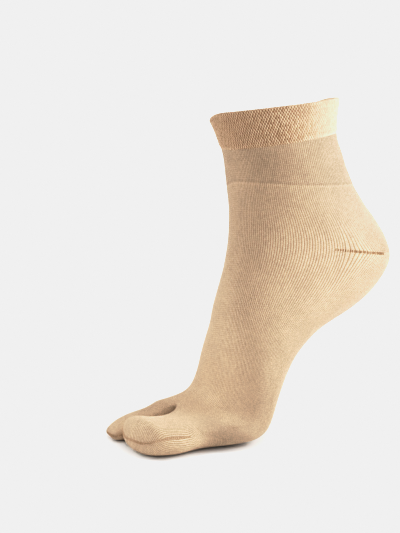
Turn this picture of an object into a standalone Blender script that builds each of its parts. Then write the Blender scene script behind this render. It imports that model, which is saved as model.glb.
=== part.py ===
"""A two-toe ankle sock in the shape that it takes on a left foot standing on its ball.

Toes point to -Y, the outer (little toe) side is +X, up is +Z, and the floor is Z = 0.
The origin is on the floor under the ball of the foot. All sizes are in metres.
"""

import math
from collections import namedtuple

import bpy
from mathutils import Vector
from mathutils.bvhtree import BVHTree

# Driving sizes of the worn sock: the rim above the floor, the length from the ball back to the heel,
# the width over the ball, the length of the toes from the crease at their roots, and their thickness
RIM_HEIGHT = 0.212
HEEL_LENGTH = 0.118
FOOT_WIDTH = 0.088
TOE_LENGTH = 0.048
TOE_THICKNESS = 0.022
# Thickness of the knit
WALL = 0.0012
CUFF_WALL = 0.0020
CUFF_STANDS_PROUD = 0.0004
# Space left between two pieces that meet
PIECE_GAP = 0.0003
# How far the rim dips at the inner side of the leg
INNER_RIM_DIP = 0.009
# Section of the linked seam that closes each toe pouch
SEAM_WIDTH = 0.0016
SEAM_HEIGHT = 0.0008
SEAM_SIDES = 6
# Rings from a pouch's tip over which its seam rises from mid height towards the top of the toes
SEAM_RISE_RINGS = 3.0
# How far the rim's rounded edge rises, as a share of the cuff's thickness
RIM_ROUNDING = 0.35

# The knit around the leg is laid out on columns, which all rings share.
# Column 0 is the front of the leg and the top of the foot, and a quarter turn further is the outer side.
COLUMNS = 24
QUARTER = COLUMNS // 4
CLEFT_TOP = COLUMNS - 1
CLEFT_BOTTOM = 2 * QUARTER + 1
WEB_POINTS = 3
REFINE_LEVELS = 1

# Rings from the rim down to the cleft between the toes.
# front_y, back_y: shares of HEEL_LENGTH. front_z, back_z: shares of RIM_HEIGHT.
# half_width: share of FOOT_WIDTH. egg: how much wider the ring is at its front.
# square: 2 is an ellipse, and more is squarer. skew: how far the outer side lies back, per width.
Ring = namedtuple("Ring", "zone front_y front_z back_y back_z half_width egg square skew")
RINGS = (
    Ring("cuff", -0.111, 0.944, 0.611, 0.997, 0.393, 0.00, 2.1, 0.0),
    Ring("cuff", -0.073, 0.890, 0.593, 0.949, 0.385, 0.00, 2.1, 0.0),
    Ring("leg", -0.033, 0.836, 0.586, 0.892, 0.373, 0.00, 2.1, 0.0),
    Ring("leg", -0.012, 0.771, 0.641, 0.830, 0.368, 0.02, 2.1, 0.0),
    Ring("leg", 0.001, 0.711, 0.708, 0.763, 0.365, 0.04, 2.1, 0.0),
    Ring("leg", 0.008, 0.665, 0.770, 0.703, 0.364, 0.06, 2.1, 0.0),
    Ring("heel", 0.004, 0.634, 0.902, 0.631, 0.371, 0.08, 2.1, 0.0),
    Ring("heel", 0.000, 0.601, 1.043, 0.537, 0.371, 0.08, 2.1, 0.0),
    Ring("heel", -0.004, 0.563, 1.062, 0.475, 0.371, 0.06, 2.1, 0.0),
    Ring("heel", -0.015, 0.520, 0.965, 0.416, 0.379, 0.04, 2.1, 0.0),
    Ring("foot", -0.037, 0.477, 0.846, 0.363, 0.387, 0.00, 2.1, 0.0),
    Ring("foot", -0.061, 0.416, 0.651, 0.321, 0.390, 0.00, 2.1, 0.0),
    Ring("foot", -0.082, 0.350, 0.435, 0.280, 0.394, 0.00, 2.1, 0.0),
    Ring("foot", -0.093, 0.289, 0.296, 0.214, 0.402, 0.00, 2.1, 0.0),
    Ring("foot", -0.108, 0.225, 0.198, 0.151, 0.422, 0.00, 2.2, 0.0),
    Ring("foot", -0.120, 0.160, 0.128, 0.088, 0.441, 0.00, 2.3, 0.0),
    Ring("foot", -0.147, 0.106, 0.070, 0.021, 0.454, 0.00, 2.4, 0.0),
    Ring("foot", -0.204, 0.095, -0.050, -0.006, 0.461, 0.00, 2.5, 0.05),
    Ring("toes", -0.275, 0.088, -0.195, -0.002, 0.459, 0.00, 2.5, 0.10),
)

# Rings of the two toe pouches. reach: share of TOE_LENGTH. centre, half_width: shares of FOOT_WIDTH.
# top, bottom: shares of TOE_THICKNESS. skew: how far the outer side lies back, per width.
TOE_SQUARE = 2.3
ToeRing = namedtuple("ToeRing", "reach centre half_width top bottom skew")
FOUR_TOE_RINGS = (
    ToeRing(0.19, 0.129, 0.220, 0.83, -0.03, 0.10),
    ToeRing(0.42, 0.136, 0.239, 0.79, -0.03, 0.10),
    ToeRing(0.63, 0.130, 0.241, 0.87, -0.04, 0.12),
    ToeRing(0.82, 0.125, 0.220, 0.97, -0.02, 0.16),
    ToeRing(0.90, 0.129, 0.150, 0.78, 0.06, 0.20),
    ToeRing(0.94, 0.124, 0.070, 0.54, 0.22, 0.22),
)
BIG_TOE_RINGS = (
    ToeRing(0.10, -0.308, 0.148, 0.75, -0.05, 0.00),
    ToeRing(0.30, -0.282, 0.135, 0.60, -0.06, 0.00),
    ToeRing(0.53, -0.266, 0.134, 0.56, -0.06, 0.00),
    ToeRing(0.77, -0.245, 0.126, 0.45, -0.05, 0.00),
    ToeRing(0.92, -0.224, 0.092, 0.34, 0.00, 0.00),
    ToeRing(0.955, -0.220, 0.045, 0.23, 0.10, 0.00),
)

# Knit colour (linear), roughness and metallic value
KNIT_COLOUR = (0.68, 0.48, 0.30, 1.0)
CUFF_COLOUR = (0.60, 0.42, 0.26, 1.0)
KNIT_ROUGHNESS = 0.9


def spline_swell(points):
    """A ring's smooth surface lies a little inside its points; this factor makes up for it."""
    return 3.0 / (2.0 + math.cos(2.0 * math.pi / points))


def power(value, exponent):
    return math.copysign(abs(value) ** exponent, value)


def leg_ring(row):
    """The points of one ring of the leg or foot, one for each column."""
    front = Vector((0.0, row.front_y * HEEL_LENGTH, row.front_z * RIM_HEIGHT))
    back = Vector((0.0, row.back_y * HEEL_LENGTH, row.back_z * RIM_HEIGHT))
    centre = (front + back) / 2.0
    swell = spline_swell(COLUMNS)
    to_front = (front - centre) * swell
    half_width = row.half_width * FOOT_WIDTH * swell
    points = []
    for column in range(COLUMNS):
        angle = 2.0 * math.pi * column / COLUMNS
        along = power(math.cos(angle), 2.0 / row.square)
        across = power(math.sin(angle), 2.0 / row.square)
        x = half_width * across * (1.0 + row.egg * math.cos(angle))
        point = centre + to_front * along
        point.x = x
        point.y += row.skew * x
        points.append(point)
    return points


def toe_ring(row, first_angle, turn, steps):
    """The points of one ring of a toe pouch, from first_angle in the given turning sense."""
    centre_x = row.centre * FOOT_WIDTH
    root_y = RINGS[-1].front_y * HEEL_LENGTH
    top = row.top * TOE_THICKNESS
    bottom = row.bottom * TOE_THICKNESS
    swell = spline_swell(steps)
    points = []
    for step in range(steps):
        angle = first_angle + turn * 2.0 * math.pi * step / steps
        x = row.half_width * FOOT_WIDTH * swell * power(math.cos(angle), 2.0 / TOE_SQUARE)
        lift = (top - bottom) / 2.0 * swell * power(math.sin(angle), 2.0 / TOE_SQUARE)
        y = root_y - row.reach * TOE_LENGTH + row.skew * x
        points.append(Vector((centre_x + x, y, (top + bottom) / 2.0 + lift)))
    return points


class Cage:
    """The coarse net of the sock's outer surface: points, faces and each face's zone."""

    def __init__(self):
        self.points = []
        self.faces = []
        self.zones = []
        self.seams = {}

    def add_ring(self, points):
        start = len(self.points)
        self.points.extend(points)
        return list(range(start, start + len(points)))

    def add_face(self, corners, zone):
        self.faces.append(corners)
        self.zones.append(zone)

    def bridge(self, upper, lower, zone_of_step):
        """Faces between two rings with the same number of points."""
        count = len(upper)
        for step in range(count):
            after = (step + 1) % count
            corners = (upper[step], upper[after], lower[after], lower[step])
            self.add_face(corners[::-1], zone_of_step(step))

    def seam_line(self, rings, start, upwards):
        """Points along a pouch's side, round its tip and back along its other side."""
        half = len(rings[0]) // 2
        count = 2 * half
        near = []
        far = []
        for number, ring in enumerate(rings):
            rise = min((len(rings) - 1 - number) / SEAM_RISE_RINGS, 1.0)
            one, other = start, (start + half) % count
            near.append(self.points[ring[one]].lerp(self.points[ring[one + upwards]], rise))
            raised = self.points[ring[(other - upwards) % count]]
            far.append(self.points[ring[other]].lerp(raised, rise))
        tip = []
        for step in range(1, half):
            one = self.points[rings[-1][(start + step) % (2 * half)]]
            other = self.points[rings[-1][start - step]]
            tip.append((one + other) / 2.0)
        return near + tip + far[:1:-1]

    def close_pouch(self, rings, start, upwards, zone):
        """Closes a pouch's last ring by joining its two halves. upwards: the step along a ring at
        start that leads to the top of the toes."""
        ring = rings[-1][start:] + rings[-1][:start]
        self.seams[zone] = self.seam_line(rings, start, upwards)
        half = len(ring) // 2
        upper = ring[: half + 1]
        lower = [ring[0]] + ring[: half - 1 : -1]
        self.add_face((upper[0], upper[1], lower[1])[::-1], zone)
        for step in range(1, half - 1):
            corners = (upper[step], upper[step + 1], lower[step + 1], lower[step])
            self.add_face(corners[::-1], zone)
        self.add_face((upper[half - 1], upper[half], lower[half - 1])[::-1], zone)


def zone_in_fan(step):
    """In the rings of the heel, the back half is the heel's pocket and the front half is the foot's."""
    return "heel" if QUARTER <= step < 3 * QUARTER else "foot"


def build_cage():
    cage = Cage()
    rings = []
    for row in RINGS:
        points = leg_ring(row)
        if row is RINGS[0]:
            for column, point in enumerate(points):
                inner_side = max(-math.sin(2.0 * math.pi * column / COLUMNS), 0.0)
                point.z -= INNER_RIM_DIP * inner_side
        rings.append(cage.add_ring(points))
    for number in range(len(RINGS) - 1):
        zone = RINGS[number].zone
        pick = zone_in_fan if zone == "heel" else lambda step, zone=zone: zone
        cage.bridge(rings[number], rings[number + 1], pick)

    split = rings[-1]
    top = cage.points[split[CLEFT_TOP]]
    bottom = cage.points[split[CLEFT_BOTTOM]]
    web = cage.add_ring(
        [bottom.lerp(top, (n + 1) / (WEB_POINTS + 1)) for n in range(WEB_POINTS)]
    )

    # Outer side: from the cleft's top round by the little toe to its bottom, then up the web
    outer = [split[(CLEFT_TOP + n) % COLUMNS] for n in range(CLEFT_BOTTOM + 2)] + web
    steps = len(outer)
    turn = -1.0
    inner_angle = math.pi - 2.0 * math.pi / steps * (WEB_POINTS + 1) / 2.0
    rings = [outer]
    for row in FOUR_TOE_RINGS:
        ring = cage.add_ring(toe_ring(row, inner_angle, turn, steps))
        cage.bridge(rings[-1], ring, lambda step: "four_toe_pouch")
        rings.append(ring)
    cage.close_pouch(rings, (CLEFT_BOTTOM + 1) // 2, -1, "four_toe_pouch")

    # Inner side: from the cleft's bottom round by the big toe to its top, then down the web
    inner = [split[n] for n in range(CLEFT_BOTTOM, CLEFT_TOP + 1)] + web[::-1]
    steps = len(inner)
    inner_angle = -2.0 * math.pi / steps * (WEB_POINTS + 1) / 2.0
    rings = [inner]
    for row in BIG_TOE_RINGS:
        ring = cage.add_ring(toe_ring(row, inner_angle, turn, steps))
        cage.bridge(rings[-1], ring, lambda step: "big_toe_pouch")
        rings.append(ring)
    cage.close_pouch(rings, (CLEFT_TOP - CLEFT_BOTTOM) // 2, 1, "big_toe_pouch")
    return cage


def refined(cage):
    """The cage smoothed by subdivision: points, normals, faces and the zone of each face."""
    names = sorted(set(cage.zones))
    mesh = bpy.data.meshes.new("cage")
    mesh.from_pydata(cage.points, [], cage.faces)
    for polygon, zone in zip(mesh.polygons, cage.zones):
        polygon.material_index = names.index(zone)
    holder = bpy.data.objects.new("cage", mesh)
    bpy.context.scene.collection.objects.link(holder)
    smooth = holder.modifiers.new("smooth", "SUBSURF")
    smooth.levels = REFINE_LEVELS
    smooth.render_levels = REFINE_LEVELS
    bpy.context.view_layer.update()
    graph = bpy.context.evaluated_depsgraph_get()
    fine = holder.evaluated_get(graph).to_mesh()
    points = [vertex.co.copy() for vertex in fine.vertices]
    normals = [vertex.normal.copy() for vertex in fine.vertices]
    faces = [tuple(polygon.vertices) for polygon in fine.polygons]
    zones = [names[polygon.material_index] for polygon in fine.polygons]
    bpy.data.objects.remove(holder)
    for point in points:
        point.z = max(point.z, 0.0)
    return points, normals, faces, zones


def border_edges(faces):
    """The directed edges that only one face has."""
    directed = {}
    for face in faces:
        for start, end in zip(face, face[1:] + face[:1]):
            directed[(start, end)] = face
    return {edge: face for edge, face in directed.items() if edge[::-1] not in directed}


def inset_steps(points, normals, edges, free):
    """How far each border point moves into its own piece. A free edge stays where it is."""
    leans = {}
    for start, end in edges:
        if (start, end) in free:
            continue
        along = (points[end] - points[start]).normalized()
        for corner in (start, end):
            inward = normals[corner].cross(along).normalized()
            leans.setdefault(corner, []).append(inward)
    steps = {}
    for corner, inwards in leans.items():
        middle = sum(inwards, Vector()).normalized()
        reach = max(middle.dot(inwards[0]), 0.5)
        steps[corner] = middle * (PIECE_GAP / 2.0 / reach)
    return steps


def shell(surface, zone, wall, proud=0.0):
    """One piece of knit with an outer and an inner skin, as a closed mesh."""
    points, normals, faces, zones = surface
    own = [face for face, of_zone in zip(faces, zones) if of_zone == zone]
    edges = border_edges(own)
    free = set(border_edges(faces))
    steps = inset_steps(points, normals, edges, free)
    order = sorted({corner for face in own for corner in face})
    number = {corner: place for place, corner in enumerate(order)}
    outer = []
    inner = []
    for corner in order:
        point = points[corner] + steps.get(corner, Vector())
        outer.append(point + normals[corner] * proud)
        inner.append(point + normals[corner] * (proud - wall))
    count = len(order)
    new_faces = []
    for face in own:
        new_faces.append(tuple(number[corner] for corner in face))
        new_faces.append(tuple(number[corner] + count for corner in reversed(face)))
    crowns = {}
    crown_points = []
    for start, end in edges:
        a, b = number[start], number[end]
        if (start, end) not in free:
            new_faces.append((b, a, a + count, b + count))
            continue
        outward = (points[end] - points[start]).cross(normals[start]).normalized()
        for corner in (start, end):
            if corner not in crowns:
                crowns[corner] = 2 * count + len(crown_points)
                middle = points[corner] + normals[corner] * (proud - wall / 2.0)
                crown_points.append(middle + outward * wall * RIM_ROUNDING)
        c, d = crowns[start], crowns[end]
        new_faces.append((b, a, c, d))
        new_faces.append((d, c, a + count, b + count))
    return outer + inner + crown_points, new_faces


def between(line):
    """The line with a point added in the middle of each step."""
    filled = []
    for near, far in zip(line, line[1:]):
        filled += [near, (near + far) / 2.0]
    return filled + [line[-1]]


def seam_cord(surface, line):
    """A flat cord that follows a line just clear of the outer surface, as a closed mesh."""
    points, normals, faces, zones = surface
    tree = BVHTree.FromPolygons(points, faces)
    hits = [tree.find_nearest(point) for point in between(line)]
    places = [hit[0] for hit in hits]
    outward = [hit[1] for hit in hits]
    rings = []
    for number, place in enumerate(places):
        before = places[max(number - 1, 0)]
        after = places[min(number + 1, len(places) - 1)]
        up = sum(outward[max(number - 1, 0) : number + 2], Vector()).normalized()
        side = up.cross(after - before).normalized()
        middle = place + up * (PIECE_GAP + SEAM_HEIGHT / 2.0)
        ring = []
        for corner in range(SEAM_SIDES):
            angle = 2.0 * math.pi * corner / SEAM_SIDES
            reach = side * math.cos(angle) * SEAM_WIDTH / 2.0
            ring.append(middle + reach + up * math.sin(angle) * SEAM_HEIGHT / 2.0)
        rings.append(ring)
    count = SEAM_SIDES
    made = [tuple(reversed(range(count)))]
    for number in range(len(rings) - 1):
        for corner in range(count):
            after = (corner + 1) % count
            a, b = number * count + corner, number * count + after
            made.append((a, b, b + count, a + count))
    last = (len(rings) - 1) * count
    made.append(tuple(last + corner for corner in range(count)))
    return [point for ring in rings for point in ring], made


def make_material(name, colour):
    material = bpy.data.materials.new(name)
    material.use_nodes = True
    shader = material.node_tree.nodes["Principled BSDF"]
    shader.inputs["Base Color"].default_value = colour
    shader.inputs["Roughness"].default_value = KNIT_ROUGHNESS
    shader.inputs["Metallic"].default_value = 0.0
    material.diffuse_color = colour
    return material


def make_object(name, shape, material):
    points, faces = shape
    mesh = bpy.data.meshes.new(name)
    mesh.from_pydata(points, [], faces)
    mesh.materials.append(material)
    mesh.shade_smooth()
    made = bpy.data.objects.new(name, mesh)
    bpy.context.scene.collection.objects.link(made)
    return made


def main():
    for old in list(bpy.data.objects):
        bpy.data.objects.remove(old)
    knit = make_material("knit", KNIT_COLOUR)
    ribbed = make_material("cuff_knit", CUFF_COLOUR)
    cage = build_cage()
    surface = refined(cage)
    make_object("cuff", shell(surface, "cuff", CUFF_WALL, CUFF_STANDS_PROUD), ribbed)
    for zone in ("leg", "heel", "foot", "four_toe_pouch", "big_toe_pouch"):
        make_object(zone, shell(surface, zone, WALL), knit)
    for zone, name in (("four_toe_pouch", "four_toe_seam"), ("big_toe_pouch", "big_toe_seam")):
        make_object(name, seam_cord(surface, cage.seams[zone]), ribbed)


if __name__ == "__main__":
    main()
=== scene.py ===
"""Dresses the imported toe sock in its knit: ribbed wales, seed-stitch cuff, heel gores and toe seams."""

import math
from collections import namedtuple

import bpy
import numpy as np
from bpy.props import FloatProperty, FloatVectorProperty, IntProperty, PointerProperty
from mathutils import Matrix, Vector
from mathutils.bvhtree import BVHTree


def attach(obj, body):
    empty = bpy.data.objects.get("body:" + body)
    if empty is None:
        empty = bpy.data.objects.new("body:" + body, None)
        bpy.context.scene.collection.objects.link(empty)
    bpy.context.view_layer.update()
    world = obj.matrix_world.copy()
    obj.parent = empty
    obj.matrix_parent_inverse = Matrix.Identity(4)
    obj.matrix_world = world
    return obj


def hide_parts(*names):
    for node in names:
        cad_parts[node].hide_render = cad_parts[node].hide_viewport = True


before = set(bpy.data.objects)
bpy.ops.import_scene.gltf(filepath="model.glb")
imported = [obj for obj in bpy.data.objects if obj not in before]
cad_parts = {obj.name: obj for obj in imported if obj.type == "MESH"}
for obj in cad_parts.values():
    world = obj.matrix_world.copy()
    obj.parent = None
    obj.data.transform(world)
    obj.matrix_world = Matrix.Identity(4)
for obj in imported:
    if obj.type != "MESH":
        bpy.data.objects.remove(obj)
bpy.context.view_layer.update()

bl_info = {
    "name": "Knitted toe sock",
    "version": (1, 0, 0),
    "blender": (4, 5, 0),
    "location": "3D View > Sidebar > Toe Sock",
    "description": "Builds the knit of a two-toe ankle sock over its solids",
    "category": "Add Mesh",
}

BODY = "root"

# The knit runs on columns round the leg. Column 0 is the front, and a quarter further the outer side.
COLUMNS = 24
QUARTER = COLUMNS // 4
# The columns between which the sock forks into its two pouches, and the points of the web there
CLEFT_TOP = COLUMNS - 1
CLEFT_BOTTOM = 2 * QUARTER + 1
WEB_POINTS = 3
# Subdivision of the net, and the steps that it gives along each side of a face
NET_LEVELS = 4
NET_STEPS = 2**NET_LEVELS
# How square the rings of the pouches are: 2 is an ellipse, and more is squarer
TOE_SQUARE = 2.3
# How much lower the rim lies on the inner side, in metres
INNER_RIM_DIP = 0.009

# Rings from the rim down to the cleft between the toes.
# front_y, back_y: shares of the heel's length. front_z, back_z: shares of the rim's height.
# half_width: share of the foot's width. egg: how much wider the ring is at its front.
# square: 2 is an ellipse, and more is squarer. skew: how far the outer side lies back, per width.
Ring = namedtuple("Ring", "zone front_y front_z back_y back_z half_width egg square skew")
RINGS = (
    Ring("cuff", -0.111, 0.944, 0.611, 0.997, 0.393, 0.00, 2.1, 0.0),
    Ring("cuff", -0.073, 0.890, 0.593, 0.949, 0.385, 0.00, 2.1, 0.0),
    Ring("leg", -0.033, 0.836, 0.586, 0.892, 0.373, 0.00, 2.1, 0.0),
    Ring("leg", -0.012, 0.771, 0.641, 0.830, 0.368, 0.02, 2.1, 0.0),
    Ring("leg", 0.001, 0.711, 0.708, 0.763, 0.365, 0.04, 2.1, 0.0),
    Ring("leg", 0.008, 0.665, 0.770, 0.703, 0.364, 0.06, 2.1, 0.0),
    Ring("heel", 0.004, 0.634, 0.902, 0.631, 0.371, 0.08, 2.1, 0.0),
    Ring("heel", 0.000, 0.601, 1.043, 0.537, 0.371, 0.08, 2.1, 0.0),
    Ring("heel", -0.004, 0.563, 1.062, 0.475, 0.371, 0.06, 2.1, 0.0),
    Ring("heel", -0.015, 0.520, 0.965, 0.416, 0.379, 0.04, 2.1, 0.0),
    Ring("foot", -0.037, 0.477, 0.846, 0.363, 0.387, 0.00, 2.1, 0.0),
    Ring("foot", -0.061, 0.416, 0.651, 0.321, 0.390, 0.00, 2.1, 0.0),
    Ring("foot", -0.082, 0.350, 0.435, 0.280, 0.394, 0.00, 2.1, 0.0),
    Ring("foot", -0.093, 0.289, 0.296, 0.214, 0.402, 0.00, 2.1, 0.0),
    Ring("foot", -0.108, 0.225, 0.198, 0.151, 0.422, 0.00, 2.2, 0.0),
    Ring("foot", -0.120, 0.160, 0.128, 0.088, 0.441, 0.00, 2.3, 0.0),
    Ring("foot", -0.147, 0.106, 0.070, 0.021, 0.454, 0.00, 2.4, 0.0),
    Ring("foot", -0.204, 0.095, -0.050, -0.006, 0.461, 0.00, 2.5, 0.05),
    Ring("toes", -0.275, 0.088, -0.195, -0.002, 0.459, 0.00, 2.5, 0.10),
)
# The rings where the leg, the heel pocket and the foot below it start
LEG_RING = 2
HEEL_RING = 6
FOOT_RING = 10

# Rings of the two toe pouches. reach: share of the toes' length. centre, half_width: shares of the
# foot's width. top, bottom: shares of the toes' thickness. skew: as above.
ToeRing = namedtuple("ToeRing", "reach centre half_width top bottom skew")
FOUR_TOE_RINGS = (
    ToeRing(0.19, 0.129, 0.220, 0.83, -0.03, 0.10),
    ToeRing(0.42, 0.136, 0.239, 0.79, -0.03, 0.10),
    ToeRing(0.63, 0.130, 0.241, 0.87, -0.04, 0.12),
    ToeRing(0.82, 0.125, 0.220, 0.97, -0.02, 0.16),
    ToeRing(0.90, 0.129, 0.150, 0.78, 0.06, 0.20),
    ToeRing(0.94, 0.124, 0.070, 0.54, 0.22, 0.22),
)
BIG_TOE_RINGS = (
    ToeRing(0.10, -0.308, 0.148, 0.75, -0.05, 0.00),
    ToeRing(0.30, -0.282, 0.135, 0.60, -0.06, 0.00),
    ToeRing(0.53, -0.266, 0.134, 0.56, -0.06, 0.00),
    ToeRing(0.77, -0.245, 0.126, 0.45, -0.05, 0.00),
    ToeRing(0.92, -0.224, 0.092, 0.34, 0.00, 0.00),
    ToeRing(0.955, -0.220, 0.045, 0.23, 0.10, 0.00),
)


def length_property(name, description, default):
    return FloatProperty(name=name, description=description, unit="LENGTH", default=default)


class SockSizes(bpy.types.PropertyGroup):
    """The sizes of the worn sock and of its knit."""

    rim_height: length_property(
        "Rim height", "Height of the back of the rim above the floor, before its edge is rounded", 0.212
    )
    heel_length: length_property(
        "Heel length", "How far the heel lies behind the ball of the foot", 0.118
    )
    foot_width: length_property("Foot width", "Width over the ball of the foot", 0.088)
    toe_length: length_property(
        "Toe length", "Length of the four-toe pouch from the crease at its root", 0.048
    )
    toe_thickness: length_property("Toe thickness", "Height of the toes above the floor", 0.022)
    wall: length_property("Knit thickness", "Thickness of the single knit", 0.0012)
    cuff_wall: length_property("Cuff thickness", "Thickness of the doubled cuff", 0.0020)
    cuff_proud: length_property("Cuff proud", "How far the cuff stands out past the leg", 0.0004)
    wales: IntProperty(
        name="Wales",
        description="Columns of stitches round the leg, a multiple of 24",
        default=192,
        min=24,
    )
    cuff_wales: IntProperty(
        name="Cuff wales",
        description="Columns of raised stitches round the cuff",
        default=144,
        min=24,
    )
    course: length_property("Course height", "Height of one row of stitches", 0.0013)
    seed_rows: IntProperty(
        name="Seed rows",
        description="Rows of raised stitches in the cuff",
        default=18,
        min=4,
    )
    rib_relief: length_property(
        "Rib relief", "How far the middle of a wale stands out from the grooves beside it", 0.00016
    )
    sway: length_property("Sway", "How far the slow waves of the knit go in or out", 0.00018)
    seed_relief: length_property(
        "Seed relief", "How far a raised stitch of the cuff stands out", 0.00036
    )
    seam_width: length_property("Seam width", "Width of the linked seam across the toes", 0.0015)


def colour_property(name, description, default):
    return FloatVectorProperty(
        name=name,
        description=description,
        subtype="COLOR",
        size=3,
        min=0.0,
        max=1.0,
        default=default,
    )


class SockColours(bpy.types.PropertyGroup):
    """The colours of the yarns, of the painted shade in the knit's hollows, and of the studio."""

    yarn: colour_property("Yarn", "The beige yarn, on top of a wale", (0.69, 0.55, 0.425))
    # Groove: painted shade, the yarn painted darker deep between two wales. The gore lines' yarn takes
    # this colour too.
    groove_shade_and_gore_yarn: colour_property("Groove", "The yarn deep between two wales", (0.40, 0.258, 0.145))
    cuff_light: colour_property("Cuff light", "The raised stitches of the cuff", (0.77, 0.615, 0.475))
    # Cuff dark: painted shade on the sunken ground between the raised stitches
    cuff_ground_shade: colour_property("Cuff dark", "The ground between them", (0.29, 0.18, 0.105))
    seam: colour_property("Seam", "The linking yarn of the toe seams", (0.64, 0.47, 0.33))
    floor: colour_property("Floor", "The pale floor and backdrop", (0.87, 0.87, 0.87))


def sizes():
    return bpy.context.scene.sock_sizes


def colours():
    return bpy.context.scene.sock_colours


def spline_swell(points):
    """A ring's smooth surface lies a little inside its points; this factor makes up for it."""
    return 3.0 / (2.0 + math.cos(2.0 * math.pi / points))


def power(value, exponent):
    return math.copysign(abs(value) ** exponent, value)


def leg_ring(row):
    """The points of one ring of the leg or foot, one for each column."""
    size = sizes()
    front = Vector((0.0, row.front_y * size.heel_length, row.front_z * size.rim_height))
    back = Vector((0.0, row.back_y * size.heel_length, row.back_z * size.rim_height))
    centre = (front + back) / 2.0
    swell = spline_swell(COLUMNS)
    to_front = (front - centre) * swell
    half_width = row.half_width * size.foot_width * swell
    points = []
    for column in range(COLUMNS):
        angle = 2.0 * math.pi * column / COLUMNS
        along = power(math.cos(angle), 2.0 / row.square)
        across = power(math.sin(angle), 2.0 / row.square)
        x = half_width * across * (1.0 + row.egg * math.cos(angle))
        point = centre + to_front * along
        point.x = x
        point.y += row.skew * x
        if row is RINGS[0]:
            point.z -= INNER_RIM_DIP * max(-math.sin(angle), 0.0)
        points.append(point)
    return points


def toe_ring(row, first_angle, count):
    """The points of one ring of a toe pouch, clockwise from first_angle as the toes point at you."""
    size = sizes()
    root_y = RINGS[-1].front_y * size.heel_length
    top = row.top * size.toe_thickness
    bottom = row.bottom * size.toe_thickness
    swell = spline_swell(count)
    points = []
    for step in range(count):
        angle = first_angle - 2.0 * math.pi * step / count
        x = row.half_width * size.foot_width * swell * power(math.cos(angle), 2.0 / TOE_SQUARE)
        lift = (top - bottom) / 2.0 * swell * power(math.sin(angle), 2.0 / TOE_SQUARE)
        y = root_y - row.reach * size.toe_length + row.skew * x
        points.append(Vector((row.centre * size.foot_width + x, y, (top + bottom) / 2.0 + lift)))
    return points


class Net:
    """The coarse net of the sock's outer surface. Each face corner has its place on a patch's grid."""

    def __init__(self):
        self.points = []
        self.faces = []
        self.places = []
        self.patches = []
        self.build()

    def add_ring(self, points):
        start = len(self.points)
        self.points.extend(points)
        return list(range(start, start + len(points)))

    def add_face(self, corners, places, patch):
        self.faces.append(corners[::-1])
        self.places.append(places[::-1])
        self.patches.append(patch)

    def bridge(self, upper, lower, row, patch):
        count = len(upper)
        for step in range(count):
            after = (step + 1) % count
            corners = (upper[step], upper[after], lower[after], lower[step])
            places = ((step, row), (step + 1, row), (step + 1, row + 1), (step, row + 1))
            self.add_face(corners, places, patch)

    def close_pouch(self, ring, start, patch):
        """Closes a pouch's end by joining its upper half to its lower half."""
        ring = ring[start:] + ring[:start]
        half = len(ring) // 2
        upper = ring[: half + 1]
        lower = [ring[0]] + ring[: half - 1 : -1]
        for step in range(half):
            corners = (upper[step], upper[step + 1], lower[step + 1], lower[step])
            places = ((step, 0), (step + 1, 0), (step + 1, 1), (step, 1))
            if step == 0:
                corners = corners[:3]
                places = places[:3]
            elif step == half - 1:
                corners = (corners[0], corners[1], corners[3])
                places = (places[0], places[1], places[3])
            self.add_face(corners, places, patch)

    def pouch(self, upper, rows, first_angle, start, patch):
        """Adds a pouch from the fork to its closed tip, whose one end lies at the column start."""
        for number, row in enumerate(rows):
            lower = self.add_ring(toe_ring(row, first_angle, len(upper)))
            self.bridge(upper, lower, number, patch)
            upper = lower
        self.close_pouch(upper, start, patch + "_end")

    def build(self):
        rings = [self.add_ring(leg_ring(row)) for row in RINGS]
        for number in range(len(RINGS) - 1):
            self.bridge(rings[number], rings[number + 1], number, "body")
        split = rings[-1]
        top = self.points[split[CLEFT_TOP]]
        bottom = self.points[split[CLEFT_BOTTOM]]
        shares = [(n + 1) / (WEB_POINTS + 1) for n in range(WEB_POINTS)]
        web = self.add_ring([bottom.lerp(top, share) for share in shares])
        outer = [split[(CLEFT_TOP + n) % COLUMNS] for n in range(CLEFT_BOTTOM + 2)] + web
        lean = 2.0 * math.pi / len(outer) * (WEB_POINTS + 1) / 2.0
        self.pouch(outer, FOUR_TOE_RINGS, math.pi - lean, (CLEFT_BOTTOM + 1) // 2, "four")
        inner = [split[n] for n in range(CLEFT_BOTTOM, CLEFT_TOP + 1)] + web[::-1]
        lean = 2.0 * math.pi / len(inner) * (WEB_POINTS + 1) / 2.0
        self.pouch(inner, BIG_TOE_RINGS, -lean, (CLEFT_TOP - CLEFT_BOTTOM) // 2, "big")


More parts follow.
